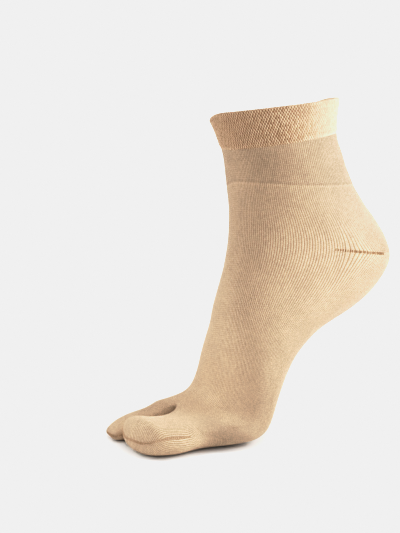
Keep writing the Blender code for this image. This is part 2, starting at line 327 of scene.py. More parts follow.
class Surface:
    """The smooth outer surface: a grid of points and normals for each patch, and a tree to rest on."""

    def __init__(self):
        net = Net()
        names = sorted(set(net.patches))
        mesh = bpy.data.meshes.new("net")
        mesh.from_pydata(net.points, [], net.faces)
        layer = mesh.uv_layers.new(name="places")
        layer.data.foreach_set("uv", np.array([p for face in net.places for p in face], "f").ravel())
        mesh.polygons.foreach_set("material_index", [names.index(p) for p in net.patches])
        holder = bpy.data.objects.new("net", mesh)
        bpy.context.scene.collection.objects.link(holder)
        rounding = holder.modifiers.new("rounding", "SUBSURF")
        rounding.levels = NET_LEVELS
        rounding.render_levels = NET_LEVELS
        rounding.uv_smooth = "NONE"
        bpy.context.view_layer.update()
        fine = holder.evaluated_get(bpy.context.evaluated_depsgraph_get()).to_mesh()
        self.points = read(fine.vertices, "co", 3)
        self.normals = read(fine.vertices, "normal", 3)
        self.points[:, 2] = np.maximum(self.points[:, 2], 0.0)
        places = read(fine.uv_layers["places"].data, "uv", 2)
        corners = read(fine.loops, "vertex_index", 1, "i")[:, 0].reshape(-1, 4)
        patch = read(fine.polygons, "material_index", 1, "i")[:, 0]
        bpy.data.objects.remove(holder)
        self.tree = BVHTree.FromPolygons(self.points.tolist(), corners.tolist())
        self.tables = {}
        places = places.reshape(-1, 4, 2)
        for number, name in enumerate(names):
            if name.endswith("_end"):
                continue
            own = patch == number
            step = np.rint(places[own] * NET_STEPS).astype(int)
            shape = step.reshape(-1, 2).max(axis=0) + 1
            index = np.zeros((shape[1], shape[0]), int)
            index[step[..., 1], step[..., 0]] = corners[own]
            points = self.points[index]
            down = np.zeros((*index.shape, 1))
            down[1:, :, 0] = np.cumsum(np.linalg.norm(np.diff(points, axis=0), axis=-1), axis=0)
            self.tables[name] = np.concatenate([points, self.normals[index], down], axis=-1)

    def size_of(self, patch):
        """How many columns and rings a patch has."""
        table = self.tables[patch]
        return (table.shape[1] - 1) // NET_STEPS, (table.shape[0] - 1) // NET_STEPS

    def sample(self, patch, columns, rings):
        """Points, normals and lengths down from the patch's top, where columns and rings cross."""
        table = self.tables[patch]
        x = np.asarray(columns, float) * NET_STEPS % (table.shape[1] - 1)
        y = np.clip(np.asarray(rings, float) * NET_STEPS, 0, table.shape[0] - 1)
        x, y = np.broadcast_arrays(x, y)
        x0 = np.minimum(x.astype(int), table.shape[1] - 2)
        y0 = np.minimum(y.astype(int), table.shape[0] - 2)
        fx = (x - x0)[..., None]
        fy = (y - y0)[..., None]
        upper = table[y0, x0] * (1 - fx) + table[y0, x0 + 1] * fx
        lower = table[y0 + 1, x0] * (1 - fx) + table[y0 + 1, x0 + 1] * fx
        found = upper * (1 - fy) + lower * fy
        normals = found[..., 3:6] / np.linalg.norm(found[..., 3:6], axis=-1, keepdims=True)
        return found[..., :3], normals, found[..., 6]


def read(items, attribute, width, kind="f"):
    values = np.empty(len(items) * width, np.float32 if kind == "f" else np.int32)
    items.foreach_get(attribute, values)
    return values.reshape(-1, width).astype(float if kind == "f" else int)


SURFACES = {}


def surface():
    """The smooth surface, worked out once for the sizes that shape it."""
    size = sizes()
    shape = (size.rim_height, size.heel_length, size.foot_width, size.toe_length, size.toe_thickness)
    if shape not in SURFACES:
        SURFACES.clear()
        SURFACES[shape] = Surface()
    return SURFACES[shape]


# Points that the mesh has across one wale, and rows that it has for one row of the cuff's seeds
WALE_POINTS = 5
SEED_POINTS = 4
# Rows of the mesh in the leg, beside the heel and in the foot below it
LEG_ROWS = 36
HEEL_ROWS = 48
FOOT_ROWS = 72
# Rows of the mesh from one ring of a toe pouch to the next, from the last one to the seam across the
# tip, and round the rolled rim
TOE_ROWS = 10
CAP_ROWS = 6
RIM_ROWS = 6
# The inner skin has one row for so many of the outer skin's
INNER_SKIP = 6
# Points nearer than this are one point, in metres
SAME_POINT = 1e-7

# Half the width of a raised stitch of the cuff, in wales, and half its height, in rows. A top above 1
# makes it flat in its middle.
SEED_WIDTH = 0.29
SEED_HEIGHT = 0.78
SEED_TOP = 1.15
# The worn cuff is pulled down by this many of its rows
RIM_ROW = 2
# The slow waves of the knit: a height, and two waves that are multiplied, each with its radians for a
# metre along x, y and z, and its start
WAVES = (
    (1.0, (60.0, 0.0, 170.0, 1.3), (-70.0, 110.0, 0.0, 0.4)),
    (0.6, (0.0, -200.0, 310.0, 2.1), (240.0, 0.0, 0.0, 0.7)),
)

# How far a pouch's tip bulges, as a share of its height at the last ring
CAP_BULGE = 0.30
# The wales of a pouch have turned towards its seam after one part in this many of its length
TOE_TURN = 3.0
# The knit is stretched over the toes: a wale there is this many times as wide as at a pouch's root
TOE_WIDENING = 1.4
# Courses are counted from the cuff, and a toe pouch begins at about this one
TOE_COURSE = 150.0
# Rings from a pouch's root to the ends of its seam, and those over which it rises to the toes' top
SEAM_START = 2.0
SEAM_RISE_RINGS = 3.0

# A seam or gore line is two rows of stitches. The step from one stitch to the next in a toe seam, a
# stitch's thickness as a share of that, and how far the stitches lean along the line, in radians
SEAM_PITCH = 0.0012
SEAM_FILL = 0.60
SEAM_LEAN = 0.6
# Where a row of stitches lies beside the line and how long a stitch is, as shares of the line's width
STITCH_ASIDE = 0.24
STITCH_LENGTH = 0.62
# Mesh of a single stitch, how far its middle lies above the knit, and how far its ends dip, as a share
# of its thickness
STITCH_RINGS = 6
STITCH_SIDES = 8
STITCH_LIFT = 0.0001
STITCH_DIP = 0.45
# Turns of the ply round a stitch and along half of it
PLY_ROUND = 2.0
PLY_ALONG = 1.2

# The gore lines: where they start and end, in columns from the front, the steps of their path, and the
# size of their stitches
GORE_START = 5.5
GORE_END = 8.65
GORE_STEPS = 60
GORE_PITCH = 0.0020
GORE_WIDTH = 0.0017
GORE_FILL = 0.42
# The ring of the gore lines, how far the wales lean back there, in columns, and over how many rings
# they come upright again
GORE_RING = 7.62
GORE_LEAN = 1.2
GORE_FADE = 0.85


def steps(start, end, count):
    return np.linspace(start, end, count + 1)


def smooth(values):
    values = np.clip(values, 0.0, 1.0)
    return values * values * (3.0 - 2.0 * values)


def rib(wales):
    """A wale is a broad round ridge between two narrow grooves: 0 in the groove, 1 on top."""
    return 1.0 - np.abs(2.0 * (wales % 1.0) - 1.0) ** 3


def seed(wales, rows):
    """The raised stitches of the cuff: upright ovals, which overlap their neighbours half a wale away."""
    grains = []
    for shift in (0.0, 1.0):
        across = (wales + 0.5 * shift) % 1.0 - 0.5
        down = (rows + shift) % 2.0 - 1.0
        grains.append(smooth(SEED_TOP - (across / SEED_WIDTH) ** 2 - (down / SEED_HEIGHT) ** 2))
    return np.maximum(*grains)


def sway(points):
    """The knit never lies quite even: slow waves of a fraction of a millimetre."""
    total = 0.0
    for height, first, second in WAVES:
        waves = [np.sin(points @ turn + start) for *turn, start in (first, second)]
        total = total + height * waves[0] * waves[1]
    return total


class Patch:
    """A grid of the knit's outer points, their wales and courses, and the points of its inner skin."""

    def __init__(self, outer, inner, wales, courses, closed, walls):
        self.wales, self.courses = np.broadcast_arrays(wales, courses)
        self.outer = outer
        self.inner = inner
        # The floor holds the knit up
        for skin in (outer, inner):
            skin[..., 2] = np.maximum(skin[..., 2], 0.0)
        self.closed = closed
        self.walls = walls


def ribbed_patch(points, normals, wales, courses, closed, walls):
    """A patch of plain knit, whose wales stand out as ribs."""
    size = sizes()
    relief = (rib(wales) - 1.0) * size.rib_relief + sway(points) * size.sway
    outer = points + normals * relief[..., None]
    inner = points - normals * size.wall
    return Patch(outer, inner, wales, courses, closed, walls)


def skipped(count, step):
    """The numbers that a skin keeps when it skips: every step, and the last one too."""
    kept = list(range(0, count - 1, step))
    return kept + [count - 1]


# The kinds of faces in a piece of knit
OUTER_SKIN = 0
INNER_SKIN = 1
WALL = 2


class Piece:
    """The mesh of one piece of knit: an outer skin, a coarser inner one, and walls along free edges."""

    def __init__(self, name):
        self.name = name
        self.points = []
        self.faces = []
        self.uvs = []
        self.kinds = []
        self.count = 0

    def add_points(self, points):
        start = self.count
        self.points.append(points.reshape(-1, 3))
        self.count += points.shape[0] * points.shape[1]
        return np.arange(start, self.count).reshape(points.shape[:2])

    def add_skin(self, numbers, wales, courses, kind):
        turn = slice(None) if kind == INNER_SKIN else slice(None, None, -1)
        places = np.stack([wales, courses], axis=-1)
        for store, grid in ((self.faces, numbers), (self.uvs, places)):
            corners = [grid[:-1, :-1], grid[:-1, 1:], grid[1:, 1:], grid[1:, :-1]][turn]
            stacked = np.stack(corners, axis=2)
            store.extend(stacked.reshape(-1, *stacked.shape[2:]).tolist())
        self.kinds.extend([kind] * (len(self.faces) - len(self.kinds)))

    def add_wall(self, outer, inner, kept, place):
        """Faces between an edge of the outer skin and the fewer points of the inner skin's edge."""
        for start, end in zip(range(len(kept) - 1), range(1, len(kept))):
            face = list(outer[kept[start] : kept[end] + 1]) + [inner[end], inner[start]]
            self.faces.append([int(corner) for corner in face])
            self.uvs.append([place] * len(face))
            self.kinds.append(WALL)

    def add_patch(self, patch):
        rows = skipped(patch.outer.shape[0], INNER_SKIP)
        columns = skipped(patch.outer.shape[1], WALE_POINTS)
        outer = self.add_points(patch.outer)
        inner = self.add_points(patch.inner[np.ix_(rows, columns)])
        if patch.closed:
            outer[:, -1] = outer[:, 0]
            inner[:, -1] = inner[:, 0]
        self.add_skin(outer, patch.wales, patch.courses, OUTER_SKIN)
        kept = np.ix_(rows, columns)
        self.add_skin(inner, patch.wales[kept], patch.courses[kept], INNER_SKIN)
        edges = {
            "top": (outer[0], inner[0], columns),
            "bottom": (outer[-1][::-1], inner[-1][::-1], [columns[-1] - c for c in columns[::-1]]),
            "left": (outer[::-1, 0], inner[::-1, 0], [rows[-1] - r for r in rows[::-1]]),
            "right": (outer[:, -1], inner[:, -1], rows),
        }
        for side in patch.walls:
            self.add_wall(*edges[side], (float(patch.wales.min()), float(patch.courses.min())))

    def make(self, materials):
        """Joins equal points, leaves out faces that they collapse, and makes the object."""
        points = np.concatenate(self.points)
        key = np.round(points / SAME_POINT).astype(np.int64)
        first, number = np.unique(key, axis=0, return_index=True, return_inverse=True)[1:]
        number = number.ravel().tolist()
        faces = []
        uvs = []
        kinds = []
        for face, uv, kind in zip(self.faces, self.uvs, self.kinds):
            corners = [number[corner] for corner in face]
            fresh = [place for place, corner in enumerate(corners) if corner != corners[place - 1]]
            if len({corners[place] for place in fresh}) < max(3, len(fresh)):
                continue
            faces.append([corners[place] for place in fresh])
            uvs.extend(uv[place] for place in fresh)
            kinds.append(kind)
        mesh = bpy.data.meshes.new(self.name)
        mesh.from_pydata(points[first], [], faces)
        layer = mesh.uv_layers.new(name="knit")
        layer.data.foreach_set("uv", np.array(uvs, np.float32).ravel())
        for material in materials:
            mesh.materials.append(material)
        kinds = np.array(kinds)
        mesh.polygons.foreach_set("material_index", np.minimum(kinds, len(materials) - 1))
        mesh.polygons.foreach_set("use_smooth", kinds < WALL)
        # The edges of the walls are sharp, so that the skins stay smooth up to them
        of_wall = np.repeat(kinds == WALL, [len(face) for face in faces])
        sharp = np.zeros(len(mesh.edges), bool)
        sharp[read(mesh.loops, "edge_index", 1, "i")[of_wall, 0]] = True
        mesh.edges.foreach_set("use_edge_sharp", sharp)
        made = bpy.data.objects.new(self.name, mesh)
        bpy.context.scene.collection.objects.link(made)
        return made


def dress(piece, slot, *nodes):
    """Puts a piece on the sock's body in place of its plain solids."""
    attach(piece, BODY)
    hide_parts(*nodes)


def body_columns(first, last):
    """The wales from one column to another, at every point across them."""
    per_column = sizes().wales / COLUMNS
    return steps(first, last, round((last - first) * per_column * WALE_POINTS)) * per_column


def body_patch(columns, rings, closed, walls, lean=None, first_length=None):
    """A patch of ribbed knit of the leg or foot, between two columns, at the given rings."""
    size = sizes()
    wales = body_columns(*columns)[None, :]
    ring = rings[:, None]
    column = wales * COLUMNS / size.wales
    if lean:
        column = column + lean(column, ring)
    points, normals, down = surface().sample("body", column, ring)
    if first_length is not None:
        down = down - down[:1] + first_length
    return ribbed_patch(points, normals, wales, (down - cuff_length()) / size.course, closed, walls)


def cuff_length():
    """The mean length from the rim down to the cuff's lower edge."""
    return surface().sample("body", np.arange(COLUMNS), LEG_RING)[2].mean()


def gore_lean(column, ring):
    """How far a wale leans to the back beside the heel's gore line, in columns."""
    to_border = np.minimum(column - QUARTER, 3 * QUARTER - column) / QUARTER
    # This is 1 at its highest, a third of the way in from the border
    swing = 27.0 / 4.0 * to_border * (1.0 - to_border) ** 2
    backward = np.sign(2 * QUARTER - column)
    return backward * GORE_LEAN * swing * np.exp(-np.abs(ring - GORE_RING) / GORE_FADE)


def toe_patch(patch, start, upwards, first_column):
    """The ribbed knit of a toe pouch, and its seam: points and normals along both sides and the tip.

    The seam's one end lies at the column start. upwards is the way round from there to the toes' top.
    """
    size = sizes()
    columns, rings = surface().size_of(patch)
    per_column = size.wales // COLUMNS * WALE_POINTS
    count = columns * per_column
    column = steps(0.0, columns, count)[None, :]
    ring = steps(0.0, rings, rings * TOE_ROWS)[:, None]
    points, normals, down = surface().sample(patch, column, ring)
    corner = start * per_column
    facing = (2 * corner - np.arange(count + 1)) % count
    points, normals = close_toe(points, normals, facing)
    lengths = np.linalg.norm(np.diff(points[len(down) - 1 :], axis=0), axis=-1)
    down = np.concatenate([down, down[-1] + np.cumsum(lengths, axis=0)])
    # Towards its root the seam rises by up to a column, so its two halves share the wales unevenly
    rise = (rings * TOE_ROWS - np.arange(len(points))) / (SEAM_RISE_RINGS * TOE_ROWS)
    rise = upwards * np.rint(np.clip(rise, 0.0, 1.0) * per_column).astype(int)[:, None]
    straight = first_column * size.wales / COLUMNS + np.arange(count + 1) / WALE_POINTS
    turn = smooth(np.linspace(0.0, TOE_TURN, len(points)))[:, None]
    wales = straight * (1.0 - turn) + wales_into_seam(points, straight, corner, rise) * turn
    courses = TOE_COURSE + down / size.course
    made = ribbed_patch(points, normals, wales, courses, True, ("top",))

    round_tip = np.arange(corner, corner + count // 2 + 1) % count
    side = np.arange(round(SEAM_START * TOE_ROWS), len(points) - 1)
    near = (corner + rise[side, 0]) % count
    far = (corner + count // 2 - rise[side, 0]) % count
    seam = [
        np.concatenate([grid[side, near], grid[-1, round_tip], grid[side, far][::-1]])
        for grid in (points, normals)
    ]
    return made, seam


def wales_into_seam(points, straight, corner, rise):
    """Wales of an even width, counted from the middle of each half, which end at the seam."""
    count = points.shape[1] - 1
    girth = np.linalg.norm(np.diff(points, axis=1), axis=-1)
    girth = np.concatenate([np.zeros((len(points), 1)), np.cumsum(girth, axis=1)], axis=1)
    whole = girth[:, -1:]
    width = TOE_WIDENING * girth[0, -1] / count * WALE_POINTS
    first = (np.arange(count + 1)[None, :] - corner - rise) % count < count / 2 - 2 * rise
    wales = np.zeros(points.shape[:2])
    for quarter, own in ((1, first), (3, ~first)):
        middle = round(corner + quarter * count / 4) % count
        away = girth - girth[:, middle : middle + 1]
        away = (away + whole / 2.0) % whole - whole / 2.0
        wales += own * (straight[middle] + away / width)
    return wales


def close_toe(points, normals, facing):
    """Adds rows to a toe's grid that close its end, resting on the smooth surface."""
    near = points[-1]
    far = near[facing]
    ahead = near - points[-2]
    ahead /= np.linalg.norm(ahead, axis=-1, keepdims=True)
    bulge = np.linalg.norm(near - far, axis=-1, keepdims=True) * CAP_BULGE
    bulge = bulge * (ahead + ahead[facing])
    tree = surface().tree
    rows = []
    row_normals = []
    for share in steps(0.0, 0.5, CAP_ROWS)[1:]:
        line = near * (1.0 - share) + far * share + bulge * share * (1.0 - share) * 2.0
        hits = [tree.find_nearest(Vector(point)) for point in line]
        rows.append([hit[0] for hit in hits])
        row_normals.append([hit[1] for hit in hits])
    return np.concatenate([points, rows]), np.concatenate([normals, row_normals])


def cuff_patch():
    """The doubled cuff in seed stitch, with its rolled rim."""
    size = sizes()
    wales = body_columns(0, COLUMNS)[None, :]
    rows = steps(RIM_ROW, size.seed_rows, (size.seed_rows - RIM_ROW) * SEED_POINTS)[:, None]
    ring = rows / size.seed_rows * LEG_RING
    points, normals = surface().sample("body", wales * COLUMNS / size.wales, ring)[:2]
    wales = wales * size.cuff_wales / size.wales
    soft_edge = smooth((size.seed_rows - rows) / 2.0)
    proud = size.cuff_proud * soft_edge + size.seed_relief * seed(wales, rows) * soft_edge
    outer = points + normals * (proud + sway(points) * size.sway)[..., None]
    inner = points + normals * (size.cuff_proud - size.cuff_wall)
    # The rim rolls over from the inner skin to the outer one
    up = points[0] - points[1]
    up /= np.linalg.norm(up, axis=-1, keepdims=True)
    turn = steps(math.pi, 0.0, RIM_ROWS)[:-1, None, None]
    radius = size.cuff_wall / 2.0
    rim_rows = RIM_ROW - turn[..., 0] * radius * size.seed_rows / cuff_length()
    round_out = np.cos(turn) * normals[0] + np.sin(turn) * up
    knob = size.seed_relief * seed(wales, rim_rows)[..., None]
    middle = points[0] + normals[0] * (size.cuff_proud - radius)
    rim = middle + round_out * (radius + knob)
    outer = np.concatenate([rim, outer])
    inner = np.concatenate([np.repeat(inner[:1], RIM_ROWS, axis=0), inner])
    outer[0] = inner[0]
    rows = np.concatenate([rim_rows, rows])
    return Patch(outer, inner, wales, rows, True, ("top", "bottom"))


# The step in the leg's knit: how far below the cuff it lies at the front, and how much further
# behind, in courses
STEP_COURSE = 18.3
STEP_FALL = 12.0
# Painted shade: the leg is painted darker above the first of these courses than below the second, as it
# lies in more shade than the foot
LEG_SHADE_COURSES = (35.0, 112.0)
LEG_SHADE = 0.17
# How far the painted shade of the grooves pales behind, and the places round the leg (0 in front, 1
# behind) where that rises
GROOVE_SHADE_PALING = 0.70
GROOVE_SHADE_RISE = (0.25, 0.75)
# How far the two legs of a stitch slant, and how far a loop on the knit's back waves, in courses
LEG_SLANT = 1.5
BACK_WAVE = 0.18
# Shares of a stitch's height that are its wale, its loop on the wale, and its loop's legs
STITCH_HEIGHTS = (0.35, 0.40, 0.25)
# Painted shade of the grooves: shares of the wale and of the legs in how light the yarn is painted, and
# where the painted dark of the groove ends
GROOVE_SHADE_SHARES = (0.62, 0.38)
GROOVE_SHADE_EDGE = (0.12, 0.85)
# How much one stitch differs from the next, in shade
STITCH_SHADE = 0.12
# At the step: how much darker the knit is above it, how much the courses on both sides of it stand out,
# where their middles lie and how they fade
STEP_SHADE = 0.05
STEP_CONTRAST = 0.08
STEP_MIDDLE = 0.6
STEP_FADE = (0.3, 1.0)
# How dark flecks and blotches make a yarn
FLECK_SHADE = 0.30
BLOTCH_SHADE = 0.08
# How far a raised stitch of the cuff lies aside, in wales, and how light the darkest one is
SEED_ASIDE = 0.16
SEED_DARKEST = 0.62
# Blobs for each metre in the noise that makes a yarn's flecks, blotches and fuzz
FLECKS = 1500.0
BLOTCHES = 55.0
FUZZ = 3800.0
SEAM_FUZZ = 4200.0
# Depth of the bumps of the stitches, of the plied yarn and of the stage, in metres
STITCH_BUMP = 0.00030
PLY_BUMP = 0.00015
STAGE_BUMP = 0.00001
# The soft shine of cotton
SPECULAR = 0.25
SHEEN = 0.08
SHEEN_ROUGHNESS = 0.45


class Value:
    """A socket of a material, on which sums can be written."""

    def __init__(self, graph, socket):
        self.graph = graph
        self.socket = socket

    def out(self, name):
        return Value(self.graph, self.socket.node.outputs[name])

    def __add__(self, other):
        return self.graph.math("ADD", self, other)

    def __sub__(self, other):
        return self.graph.math("SUBTRACT", self, other)

    def __rsub__(self, other):
        return self.graph.math("SUBTRACT", other, self)

    def __mul__(self, other):
        return self.graph.math("MULTIPLY", self, other)

    def __truediv__(self, other):
        return self.graph.math("DIVIDE", self, other)

    def __pow__(self, other):
        return self.graph.math("POWER", self, other)

    def __abs__(self):
        return self.graph.math("ABSOLUTE", self)

    __radd__ = __add__
    __rmul__ = __mul__

    def fraction(self):
        return self.graph.math("FRACT", self)

    def whole(self):
        return self.graph.math("FLOOR", self)

    def smooth(self, low, high):
        """0 up to low, 1 from high, and a smooth rise between."""
        inputs = {"Value": self, "From Min": low, "From Max": high}
        return self.graph.node("ShaderNodeMapRange", {"interpolation_type": "SMOOTHSTEP"}, inputs)


class Graph:
    """The nodes of one material."""

    def __init__(self, name):
        self.material = bpy.data.materials.new(name)
        self.material.use_nodes = True
        self.tree = self.material.node_tree
        self.tree.nodes.clear()

    def node(self, kind, settings=None, inputs=None, output=0):
        """Adds a node with its settings and inputs, and gives one of its outputs."""
        made = self.tree.nodes.new(kind)
        for name, value in (settings or {}).items():
            setattr(made, name, value)
        for name, value in (inputs or {}).items():
            if isinstance(value, Value):
                self.tree.links.new(value.socket, made.inputs[name])
            else:
                made.inputs[name].default_value = value
        return Value(self, made.outputs[output]) if made.outputs else made

    def math(self, operation, *values):
        return self.node("ShaderNodeMath", {"operation": operation}, dict(enumerate(values)))

    def mix(self, factor, first, second, blend="MIX"):
        """Mixes two colours."""
        settings = {"data_type": "RGBA", "blend_type": blend}
        colours_in = {6: first, 7: second}
        for place, value in colours_in.items():
            if not isinstance(value, Value):
                colours_in[place] = (*value, 1.0)
        return self.node("ShaderNodeMix", settings, {0: factor, **colours_in}, 2)

    def grey(self, value):
        return self.node("ShaderNodeCombineColor", {}, {0: value, 1: value, 2: value})

    def places(self):
        """The wale and the course, from the knit's own map."""
        where = self.node("ShaderNodeUVMap", {"uv_map": "knit"})
        split = self.node("ShaderNodeSeparateXYZ", {}, {0: where})
        return split.out("X"), split.out("Y")

    def noise(self, scale, detail=2.0, roughness=0.5):
        """Noise over the sock, about 0.5 in the middle; scale is in blobs for each metre."""
        where = self.node("ShaderNodeTexCoord", output="Object")
        inputs = {"Vector": where, "Scale": scale, "Detail": detail, "Roughness": roughness}
        return self.node("ShaderNodeTexNoise", {}, inputs)

    def chance(self, first, second):
        """A number between 0 and 1 for each pair of whole numbers."""
        pair = self.node("ShaderNodeCombineXYZ", {}, {0: first, 1: second})
        return self.node("ShaderNodeTexWhiteNoise", {"noise_dimensions": "2D"}, {"Vector": pair})

    def finish(self, colour, roughness, height, depth, sheen=0.0):
        """Ends the material in one shader, with the height as bumps of the given depth."""
        bump = {"Strength": 1.0, "Distance": depth, "Height": height}
        normal = self.node("ShaderNodeBump", {}, bump)
        inputs = {"Base Color": colour, "Roughness": roughness, "Normal": normal}
        shader = self.node("ShaderNodeBsdfPrincipled", {}, inputs)
        bsdf = shader.socket.node
        bsdf.inputs["Specular IOR Level"].default_value = SPECULAR
        bsdf.inputs["Sheen Weight"].default_value = sheen
        bsdf.inputs["Sheen Roughness"].default_value = SHEEN_ROUGHNESS
        self.node("ShaderNodeOutputMaterial", {}, {"Surface": shader})
        return self.material


def yarn_shade(graph, colour):
    """Marls a colour: fibres, flecks of other yarn and slow blotches."""
    flecks = graph.noise(FLECKS, detail=3.0, roughness=0.65).smooth(0.30, 0.72)
    blotches = graph.noise(BLOTCHES).smooth(0.25, 0.75)
    tone = 0.80 + FLECK_SHADE * flecks + BLOTCH_SHADE * blotches
    return graph.mix(1.0, colour, graph.grey(tone), "MULTIPLY")


def behind_leg(graph, wale, wales):
    """0 in front of the leg, and 1 behind it."""
    return 0.5 - 0.5 * graph.math("COSINE", wale * (math.tau / wales))


def shade_paled_behind(depth, behind):
    """Painted shade in the knit's hollows pales round the back of the leg and the heel, where the knit is
    stretched and its grooves open.
    """
    return depth + (1.0 - depth) * (GROOVE_SHADE_PALING * behind.smooth(*GROOVE_SHADE_RISE))


def shared_material(name, build, *details):
    """A material is built for the first piece that wears it."""
    return bpy.data.materials.get(name) or build(Graph(name), *details)


def plain_knit(graph, face):
    """Plain knit: two slanted legs to each stitch on the face, and cross loops on the back."""
    tint = colours()
    wale, course = graph.places()
    across = abs(wale.fraction() - 0.5)
    if face:
        slant = course - LEG_SLANT * across
    else:
        slant = course + graph.math("SINE", wale * math.tau) * BACK_WAVE
    along = slant.fraction()
    loop = 1.0 - (2.0 * along - 1.0) ** 2.0
    leg = 1.0 - (4.0 * across - 1.0) ** 2.0
    ridge = 1.0 - (2.0 * across) ** 3.0
    of_wale, of_loop, of_legs = STITCH_HEIGHTS
    height = of_wale * ridge + of_loop * loop * ridge + of_legs * leg * loop
    fuzz = graph.noise(FUZZ)
    stitch = graph.chance(wale.whole(), slant.whole())
    # Painted shade: the yarn is painted darker deep in the grooves beside a wale and between the legs of
    # a stitch; depth is 0 in that painted shade and 1 on top
    of_wale, of_legs = GROOVE_SHADE_SHARES
    depth = (of_wale * ridge + of_legs * leg * loop).smooth(*GROOVE_SHADE_EDGE)
    behind = behind_leg(graph, wale, sizes().wales)
    # Painted shade: 1 up the leg, where it is painted darker, falling to 0 towards the foot
    leg_shade_mask = 1.0 - course.smooth(*LEG_SHADE_COURSES)
    # From the painted groove shade to the yarn on top of a wale, the painted shade paler behind the leg
    colour = graph.mix(shade_paled_behind(depth, behind * leg_shade_mask), tint.groove_shade_and_gore_yarn, tint.yarn)
    # The yarn changes at the step: darker and flatter above it, and a dark course just over a pale one
    below_step = course - STEP_COURSE - STEP_FALL * behind
    above = 1.0 - below_step.smooth(-0.4, 0.4)
    dark_course = 1.0 - abs(below_step + STEP_MIDDLE).smooth(*STEP_FADE)
    pale_course = 1.0 - abs(below_step - STEP_MIDDLE).smooth(*STEP_FADE)
    tone = 0.93 + STITCH_SHADE * stitch - STEP_SHADE * above
    tone = tone - STEP_CONTRAST * dark_course + STEP_CONTRAST * pale_course
    # Painted shade: the leg is painted darker than the foot
    tone = tone * (1.0 - LEG_SHADE * leg_shade_mask)
    colour = graph.mix(1.0, colour, graph.grey(tone), "MULTIPLY")
    colour = yarn_shade(graph, colour)
    roughness = 0.95 - 0.12 * depth
    return graph.finish(colour, roughness, height + 0.22 * fuzz, STITCH_BUMP, SHEEN)


def knit_materials():
    """The materials of a piece's outer skin and of its inner one."""
    face = shared_material("knit_face", plain_knit, True)
    back = shared_material("knit_back", plain_knit, False)
    return [face, back]


def seed_stitch(graph):
    """Seed stitch: a light raised stitch on a ground painted dark as shade, each row shifted by half a
    wale.
    """
    tint = colours()
    wale, row = graph.places()
    grains = []
    for shift in (0.0, 1.0):
        across = (wale + 0.5 * shift).fraction() - 0.5
        down = ((row + shift) / 2.0).fraction() * 2.0 - 1.0
        each = graph.chance((wale + 0.5 * shift).whole(), ((row + shift) / 2.0).whole() + 50.0 * shift)
        # No two stitches lie alike: each is moved aside a little and takes the light its own way
        aside = across + SEED_ASIDE * (each - 0.5)
        far = (aside / SEED_WIDTH) ** 2.0 + (down / SEED_HEIGHT) ** 2.0
        grains.append((1.0 - far.smooth(0.10, 1.25)) * (SEED_DARKEST + 0.50 * each))
    grain = graph.math("MAXIMUM", *grains)
    strand = graph.math("SINE", (wale + 0.25 * row) * 40.0) * 0.5 + 0.5
    fuzz = graph.noise(FUZZ)
    behind = behind_leg(graph, wale, sizes().cuff_wales)
    # From the painted shade of the sunken ground to the raised stitches, the painted shade paler behind
    # the leg
    colour = graph.mix(shade_paled_behind(grain, behind), tint.cuff_ground_shade, tint.cuff_light)
    colour = yarn_shade(graph, colour)
    height = 0.7 * grain + 0.12 * strand * grain + 0.2 * fuzz
    return graph.finish(colour, 0.95 - 0.10 * grain, height, STITCH_BUMP, SHEEN)


def plied_yarn(graph, tint):
    """The plied yarn of the linked seams and the gore lines."""
    ply, along = graph.places()
    twist = (ply + along).fraction()
    strand = 1.0 - (2.0 * twist - 1.0) ** 2.0
    # Painted shade: the crevices between the plies are painted darker
    ply_crevice_shade = [0.55 * part for part in tint]
    colour = yarn_shade(graph, graph.mix(strand.smooth(0.05, 0.75), ply_crevice_shade, tint))
    fuzz = graph.noise(SEAM_FUZZ)
    return graph.finish(colour, 0.92 - 0.08 * strand, strand + 0.3 * fuzz, PLY_BUMP, SHEEN)


def stitch_chain(name, path, outward, pitch, width, fill):
    """Two rows of slanted stitches along a path on the knit, which meet in its middle."""
    parts = np.linalg.norm(np.diff(path, axis=0), axis=-1)
    length = np.concatenate([[0.0], np.cumsum(parts)])
    whole = length[-1]

    def along(reach, values):
        return np.array([np.interp(reach, length, values[:, axis]) for axis in range(3)])

    count = max(2, round(whole / pitch))
    piece = Piece(name)
    for number in range(count):
        reach = (number + 0.5) / count * whole
        centre = along(reach, path)
        ahead = along(min(reach + pitch, whole), path) - along(max(reach - pitch, 0.0), path)
        ahead /= np.linalg.norm(ahead)
        side = np.cross(along(reach, outward), ahead)
        side /= np.linalg.norm(side)
        up = np.cross(ahead, side)
        for hand in (-1.0, 1.0):
            axis = side * hand * math.cos(SEAM_LEAN) + ahead * math.sin(SEAM_LEAN)
            middle = centre + side * hand * width * STITCH_ASIDE + up * STITCH_LIFT
            add_stitch(piece, middle, axis, up, width * STITCH_LENGTH, pitch * fill)
    return piece


def add_stitch(piece, middle, axis, up, length, thickness):
    """One stitch: a short fat strand with thinner ends that turn down into the knit."""
    side = np.cross(axis, up)
    along = steps(-1.0, 1.0, STITCH_RINGS)[:, None]
    angle = steps(0.0, math.tau, STITCH_SIDES)[None, :]
    full = np.sqrt(np.maximum(1.0 - along**2, 0.0))
    radius = full * thickness / 2.0
    dip = (along**2) * thickness * -STITCH_DIP
    points = (
        middle
        + (along * length / 2.0)[..., None] * axis
        + (radius * np.cos(angle))[..., None] * side
        + (radius * np.sin(angle) + dip)[..., None] * up
    )
    numbers = piece.add_points(points)
    numbers[:, -1] = numbers[:, 0]
    numbers[0] = numbers[0, 0]
    numbers[-1] = numbers[-1, 0]
    plies = np.broadcast_to(angle / math.tau * PLY_ROUND, points.shape[:2])
    turns = np.broadcast_to(along * PLY_ALONG, points.shape[:2])
    piece.add_skin(numbers, plies, turns, OUTER_SKIN)


